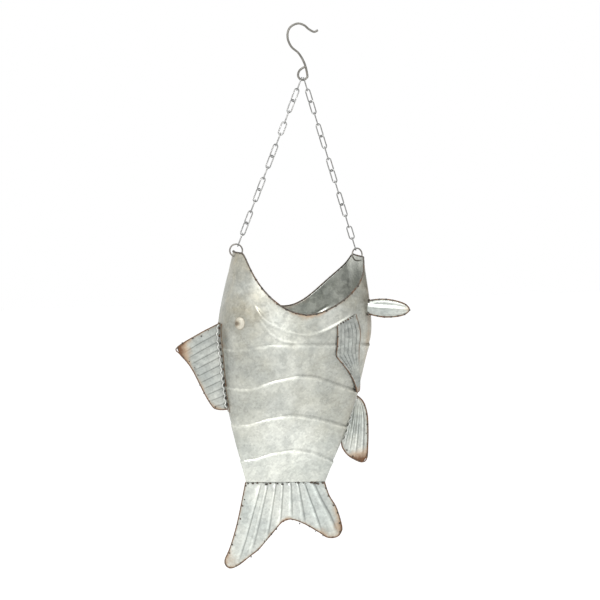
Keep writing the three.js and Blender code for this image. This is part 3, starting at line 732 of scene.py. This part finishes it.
s = np.linspace(0, 1, 90)
along = LEAF_LENGTH * 0.997 * np.sin(s * math.pi / 2)[:, None]
w = np.linspace(-1, 1, 49)[None, :]
half = leaf_half(along)
flat_ends = smoothstep(0, 0.15, s) * (1 - smoothstep(0.7, 1, s))
ribs = 0.32 * np.cos(w * math.pi * 2.5) * flat_ends[:, None]
curl = 2.2 * (1 - w ** 2) * (1 - 0.5 * s[:, None])
front = on_leaf(along + 0 * w, half * w, ribs + curl - LEAF_BACK)
rear = on_leaf(along + 0 * w, half * w, ribs + curl - LEAF_BACK - 0.6)
rust = 0.30 * np.exp(-half * (1 - np.abs(w)) / 2.0) + 0.34 * smoothstep(0.6, 1, s)[:, None] + 0 * w
rust = rust + 0.26 * np.exp(-((w - 0.1) / 0.35) ** 2) * smoothstep(0.25, 0.8, s)[:, None]
if np.cross(front[1, 1] - front[1, 0], front[2, 0] - front[1, 0])[1] > 0:
    front, rear, rust = front[:, ::-1], rear[:, ::-1], rust[:, ::-1]
verts, faces = plate(front, rear)
rust = np.clip(np.concatenate([rust.ravel()] * 2), 0, 1)
# painted shade: the whole leaf is painted darker
add_piece("leaf_ribbed", verts, faces, FIN_SKIN, "fish", ("belly_fin",), rust, rust,
          np.full(len(verts), -0.14))
line = [(a, leaf_half(a) + 0.5) for a in np.linspace(0, LEAF_LENGTH * 0.985, 14)]
line = line + [(LEAF_LENGTH + 0.6, 0)] + [(a, -h) for a, h in line[::-1]]
line = resample(line, 120)
leaf_line = on_leaf(line[:, 0], line[:, 1], 0 * line[:, 0] - LEAF_BACK)
verts, faces = tube(leaf_line, 0.8, 8)
add_piece("leaf_wire", verts, faces, EDGE, "fish", ("belly_fin_wire",))
for i in range(6, 118, 9):
    beads.append(bead(leaf_line[i] + np.array([0, -0.6, 0]), chance.uniform(0.9, 1.3)))
for across, size in ((-9, 2.2), (-7.4, 1.6), (-2, 0.9), (3.5, 1.0), (7.2, 1.7), (9, 2.1)):
    beads.append(bead(on_leaf(np.array(1.6), across, -0.6), 0.8 * size, (1, 1, 1.2)))

# ------------------------------------------------------------------ pectoral fins
# degrees around and height on the back's side, then on the belly's side, from the top to the tip
LEVELS = np.array([(67, -80, 54, -66), (66.5, -101, 51.5, -87), (65.5, -121, 50.5, -110),
                   (54.5, -141, 46, -140), (40.5, -170, 35, -168.5)], float)


def pectoral_point(u, v, above):
    u, v = np.broadcast_arrays(np.asarray(u, float), np.asarray(v, float))
    place = np.clip(v, 0, 1) * (len(LEVELS) - 1)
    level = [np.interp(place, np.arange(len(LEVELS)), LEVELS[:, k]) for k in range(4)]
    around = np.radians(level[0] * (1 - u) + level[2] * u)
    height = level[1] * (1 - u) + level[3] * u
    lift = 1.6 * np.sin(np.minimum(v * 3, 1) * math.pi / 2)
    return body_point(around, height, -(0.35 + lift + above))


def pectoral(label, sign):
    flip = np.array([1, sign, 1])
    u = np.linspace(0, 1, 90)[None, :]
    v = np.linspace(0, 1, 120)[:, None]
    ribs = 0.5 - 0.5 * np.cos(u * 2 * math.pi * 6)
    ribs = ribs * smoothstep(0.02, 0.15, v) * (1 - smoothstep(0.8, 1, v))
    front = pectoral_point(u, v, SHEET + ribs) * flip
    rear = pectoral_point(u, v, ribs + 0.2) * flip
    rust = 0.36 * np.exp(-np.minimum(u, 1 - u) * 20) + 0.3 * smoothstep(0.85, 1, v)
    rust = rust + 0.15 * smoothstep(0.6, 1.0, u)
    if np.cross(front[1, 1] - front[1, 0], front[2, 0] - front[1, 0])[1] * sign > 0:
        front, rear, rust = front[:, ::-1], rear[:, ::-1], rust[:, ::-1]
    verts, faces = plate(front, rear)
    rust = np.clip(np.concatenate([rust.ravel()] * 2), 0, 1)
    add_piece(f"pectoral_{label}_ribbed", verts, faces, SHIELD_SKIN, "fish",
              (f"pectoral_{label}",),
              rust, rust * 0.5)
    down = np.linspace(0, 1, 16)
    path = np.array([(0.0, t) for t in down] + [(0.5, 1.0)] + [(1.0, 1 - t) for t in down])
    line = pectoral_point(path[:, 0], path[:, 1], SHEET * 0.6) * flip
    line = resample(line, 160)
    verts, faces = tube(line, 0.6, 8)
    add_piece(f"pectoral_{label}_edge", verts, faces, EDGE, "fish", (f"pectoral_{label}_wire",))
    for t in np.linspace(0.02, 0.8, 7):
        beads.append(bead(pectoral_point(t, 0.0, 1.4) * flip, chance.uniform(0.8, 1.3)))
    for t in (0.18, 0.33, 0.5, 0.62, 0.78):
        beads.append(bead(pectoral_point(0.0, t, 0.9) * flip, chance.uniform(0.9, 1.3)))


pectoral("near", 1)
pectoral("far", -1)

# ------------------------------------------------------------------ eyes
def eye(label, sign):
    around, height, radius = math.radians(141), -82.0, 8.0
    at = body_point(around, height)
    across = body_point(around + 0.02, height) - body_point(around - 0.02, height)
    upward = body_point(around, height + 2) - body_point(around, height - 2)
    across /= np.linalg.norm(across)
    out = np.cross(across, upward)
    out *= -np.sign(out[1]) / np.linalg.norm(out)
    upward = np.cross(out, across)
    rings, turns = 26, 48
    points, tone = [], []
    for i in range(rings + 1):
        r = radius * i / rings
        lift = 0.15 + 3.2 * math.exp(-(max(r - 4.6, 0) / 2.2) ** 2) - 1.1 * math.exp(-(r / 2.6) ** 2)
        for k in range(turns):
            a = 2 * math.pi * k / turns
            dx, dz = r * 0.86 * math.cos(a), r * math.sin(a)
            # the disc follows the body's rounding
            points.append(at + across * dx + upward * dz + out * (lift - 0.0065 * dx * dx))
            # painted shadow on the dome's side towards the back of the head, and a darker ring at its edge
            shadow = math.exp(-((dx - 3.0) ** 2 + (dz - 0.5) ** 2) / 11)
            tone.append(0.12 + 0.9 * shadow + 0.25 * (r > 7.3))
    verts = np.array(points) * np.array([1, sign, 1])
    faces = list(grid_faces(rings + 1, turns, wrap=True, flip=sign < 0))
    tone = np.clip(np.array(tone), 0, 1)
    add_piece(f"eye_{label}_pressed", verts, faces, EYE, "fish", (f"eye_{label}",), None, tone)


eye("near", 1)
eye("far", -1)

# ------------------------------------------------------------------ solder along the joints
for t in np.linspace(-50, 50, 19):
    for side in (-1, 1):
        beads.append(bead((t + chance.uniform(-2.5, 2.5), side * 1.9, -295 + chance.uniform(-2.0, 0.6)),
                          chance.uniform(0.6, 1.7), (1.3, 0.8, 0.8)))
for z in np.arange(-192, -88, 9.0):
    z = z + chance.uniform(-1.5, 1.5)
    for side in (-1, 1):
        x = -float(section_at(z)[0])
        beads.append(bead((x - 0.8, side * 1.4, z), chance.uniform(1.0, 1.8), (0.8, 0.8, 1.2)))
for z in (-181, -200, -219, -236, -239):
    x = float(section_at(z)[0])
    for side in (-1, 1):
        beads.append(bead((x + 0.8, side * 1.4, z), chance.uniform(1.2, 2.1), (0.8, 0.8, 1.2)))
seams = []
for side in (-1, 1):
    line = body_point(math.radians(171), np.linspace(-86, -202, 60), -0.3)
    line[:, 1] *= side
    seams.append(tube(line, 0.5 + 0.1 * np.sin(np.arange(60) * 1.9), 8))
verts, faces = join(seams)
add_piece("seam_lines", verts, faces, SEAM_WIRE, "fish")
verts, faces = join(beads)
add_piece("solder_beads", verts, faces, SOLDER, "fish")

# ------------------------------------------------------------------ hook
HOOK_EYE_X, HOOK_EYE_Z, HOOK_EYE_BEND = 5.4, -63.7, 6.3
CROOK = [(25.5, -6.8), (20.4, -8.8), (13.2, -5.4), (7.6, -0.9), (0, 1.4), (-7.6, -0.8), (-12.9, -5.7),
         (-14.9, -12.9), (-13.9, -20.4), (-9.3, -28.7), (-1, -35.3), (4.3, -42.5), (8.8, -52)]
HOOK_WIRE = 1.4
line = [(x, 0, z) for x, z in CROOK]
for turn_deg in range(8, 189, 30):
    a = -math.radians(turn_deg)
    line.append((HOOK_EYE_X + HOOK_EYE_BEND * math.cos(a), 0, HOOK_EYE_Z + HOOK_EYE_BEND * math.sin(a)))
line += [(0.6, -1.6, HOOK_EYE_Z + 5.4), (4.4, -3, HOOK_EYE_Z + 8.7), (8.4, -3.3, HOOK_EYE_Z + 10.4)]
line = resample(line, 260)
verts, faces = tube(line, HOOK_WIRE, 16)
add_piece("hook_wire", verts, faces, HOOK, "hook", ("hook",), world=True)

# ------------------------------------------------------------------ chains and rings
LINK_COUNT, LINK_WIRE, LINK_BEND, LINK_INSIDE = 15, 0.8, 3.2, 15.9
RING_WIRE, RING_BEND, GAP, HOOK_EYE_REST, HOLE_SPAN = 0.95, 8.15, 0.35, 4.7, 84.6


def chain_run(side):
    """The hole, the way down, the start and the link spacing of a chain; side is -1 left, 1 right."""
    reach = side * HOLE_SPAN
    hole = np.array([FISH_X + reach * math.cos(LEAN), 0, FISH_Z - reach * math.sin(LEAN)])
    eye_at = np.array([HOOK_EYE_X, 0, HOOK_EYE_Z])
    down = (hole - eye_at) / np.linalg.norm(hole - eye_at)
    start = eye_at + down * HOOK_EYE_REST
    length = np.linalg.norm(hole - start)
    pitch = (length - 2 * RING_BEND + RING_WIRE + GAP - LINK_INSIDE / 2) / (LINK_COUNT - 0.5)
    return hole, down, start, pitch


def stand(loop, middle, down, twist):
    """A flat loop of (across, along) points set in a chain's run."""
    up = -down
    front = np.array([0, 1, 0])
    side = front * math.cos(twist) + np.cross(front, up) * math.sin(twist)
    return middle + loop[:, :1] * side + loop[:, 1:] * up, np.cross(side, up)


def link_loop(count=44):
    stretch = LINK_INSIDE / 2 + LINK_WIRE - LINK_BEND
    a = np.linspace(0, 2 * math.pi, count, endpoint=False) + math.pi / count
    return np.stack([LINK_BEND * np.cos(a), LINK_BEND * np.sin(a) + np.sign(np.sin(a)) * stretch], -1)


# links a quarter turn on from the link above; the others are 60 degrees on
QUARTER = {"left": (5, 6), "right": (14, 15)}
FIRST_TWIST = math.radians(16.5)
RING_TURN = {"left": math.radians(8), "right": math.radians(-21.5)}
for label, side in (("left", -1), ("right", 1)):
    hole, down, start, pitch = chain_run(side)
    twist = FIRST_TWIST
    for i in range(1, LINK_COUNT + 1):
        if i > 1:
            twist += math.pi / 2 if i in QUARTER[label] else math.pi / 3
        line, across = stand(link_loop(), start + down * pitch * (i - 0.5), down, twist)
        verts, faces = tube(line, LINK_WIRE, 10, closed=True, first=across)
        add_piece(f"link_{label}_{i:02d}_wire", verts, faces, CHAIN, f"link_{label}_{i:02d}",
                  (f"link_{label}_{i:02d}",), world=True)
    turn_by = math.pi / 2 + RING_TURN[label]
    a = np.linspace(0, 2 * math.pi, 64, endpoint=False)
    loop = RING_BEND * np.stack([np.cos(a), np.sin(a)], -1)
    line, across = stand(loop, hole - down * RING_BEND, down, turn_by)
    verts, faces = tube(line, RING_WIRE, 12, closed=True, first=across)
    add_piece(f"ring_{label}_wire", verts, faces, RING, f"ring_{label}", (f"ring_{label}",),
              world=True)

# ------------------------------------------------------------------ floor, backdrop and light
def floor():
    """A plain pale floor, slightly luminous so that it meets the white background without a line."""
    z, half = -1.35, 9
    mesh = bpy.data.meshes.new("floor")
    mesh.from_pydata([(-half, -half, z), (half, -half, z), (half, half, z), (-half, half, z)], [],
                     [(0, 1, 2, 3)])
    n = Nodes("floor")
    n.put(n.shader.inputs["Emission Color"], (1, 1, 1, 1))
    n.surface(Base_Color=(0.9, 0.9, 0.9, 1), Roughness=0.9, Emission_Strength=0.42)
    mesh.materials.append(n.material)
    plane = bpy.data.objects.new("floor", mesh)
    bpy.context.scene.collection.objects.link(plane)


def sky():
    """White light from all round, dimmer overhead and in one zone towards the fish's right."""
    world = bpy.data.worlds.new("studio")
    world.use_nodes = True
    tree = world.node_tree
    coords = tree.nodes.new("ShaderNodeTexCoord").outputs["Generated"]
    split = tree.nodes.new("ShaderNodeSeparateXYZ")
    tree.links.new(coords, split.inputs[0])
    upper = tree.nodes.new("ShaderNodeMapRange")
    tree.links.new(split.outputs["Z"], upper.inputs["Value"])
    toward = tree.nodes.new("ShaderNodeVectorMath")
    toward.operation = "DOT_PRODUCT"
    toward.inputs[1].default_value = (0.94, 0.34, 0)
    tree.links.new(coords, toward.inputs[0])
    right = tree.nodes.new("ShaderNodeMapRange")
    tree.links.new(toward.outputs["Value"], right.inputs["Value"])
    for node, lo, hi, end in ((upper, 0.35, 0.8, 0.55), (right, 0.81, 0.93, 0.15)):
        node.inputs["From Min"].default_value = lo
        node.inputs["From Max"].default_value = hi
        node.inputs["To Min"].default_value = 1.0
        node.inputs["To Max"].default_value = end
    both = tree.nodes.new("ShaderNodeMath")
    both.operation = "MULTIPLY"
    tree.links.new(upper.outputs[0], both.inputs[0])
    tree.links.new(right.outputs[0], both.inputs[1])
    tree.links.new(both.outputs[0], tree.nodes["Background"].inputs["Strength"])
    tree.nodes["Background"].inputs["Color"].default_value = (1, 1, 1, 1)
    bpy.context.scene.world = world


def softbox(name, at, towards, size, power, color):
    """A rectangular area light, in metres and watts."""
    data = bpy.data.lights.new(name, "AREA")
    data.shape = "RECTANGLE"
    data.size, data.size_y = size
    data.energy = power
    data.color = color
    lamp = bpy.data.objects.new(name, data)
    bpy.context.scene.collection.objects.link(lamp)
    lamp.location = at
    lamp.rotation_mode = "QUATERNION"
    lamp.rotation_quaternion = (Vector(towards) - Vector(at)).to_track_quat("-Z", "Y")


floor()
sky()
softbox("key", (-0.75, -2.1, 0.75), (0, 0, -0.42), (0.5, 1.0), 30, (1, 0.99, 0.97))
softbox("top", (0.2, -0.5, 1.2), (0, 0, -0.5), (1.0, 0.6), 14, (0.97, 0.99, 1))
bpy.context.scene.view_settings.view_transform = "Standard"
